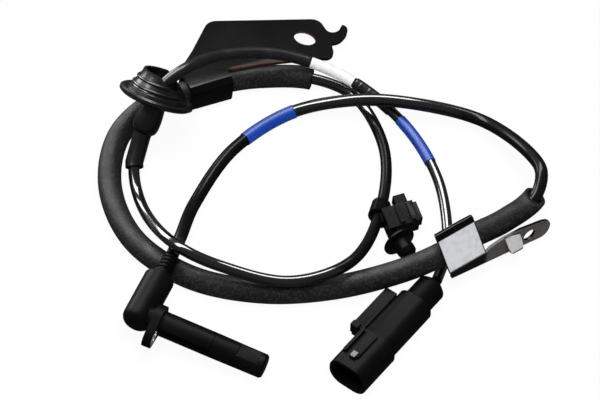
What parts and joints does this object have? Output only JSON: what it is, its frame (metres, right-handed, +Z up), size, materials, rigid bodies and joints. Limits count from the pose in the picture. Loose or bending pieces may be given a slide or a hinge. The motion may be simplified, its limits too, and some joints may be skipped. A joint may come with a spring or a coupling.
{
  "type": "wheel speed sensor harness",
  "caption": "Wheel speed sensor head on a looped cable with a protective hose, two clamp brackets, a grommet, a push-in clip and a plug connector.",
  "frame": {"origin": "middle of the bounding box of the rigid parts, at floor level", "axes": "+Z up from the bench that the harness lies on, +X to the right in the picture, +Y away from the viewer"},
  "size_m": [0.2013, 0.2113, 0.044],
  "materials": {
    "moulding": "matte black moulding",
    "bush_metal": "plated steel",
    "rubber": "satin black rubber",
    "jacket": "glossy black cable jacket",
    "blue_tape": "glossy royal blue tape",
    "foam": "matt charcoal foam rubber",
    "coated_steel": "glossy black coated sheet steel",
    "vinyl": "glossy black vinyl",
    "label": "bare white label",
    "pin_metal": "tinned brass"
  },
  "bodies": {
    "root": {"sensor_overmould": "moulding", "sensing_nose": "moulding", "flange_bush": "bush_metal", "strain_relief": "rubber", "sensor_cable": "jacket", "marker_tape_1": "blue_tape", "marker_tape_2": "blue_tape", "foam_hose": "foam", "upper_bracket": "coated_steel", "lower_bracket": "coated_steel", "vinyl_sleeve": "vinyl", "blank_label": "label", "wrapped_tape_end": "vinyl", "grommet": "rubber", "clip_body": "moulding", "clip_anchor": "moulding", "connector_rear_boot": "rubber", "connector_housing": "moulding", "terminal_carrier": "moulding", "terminal_pin_1": "pin_metal", "terminal_pin_2": "pin_metal"}
  },
  "joints": []
}
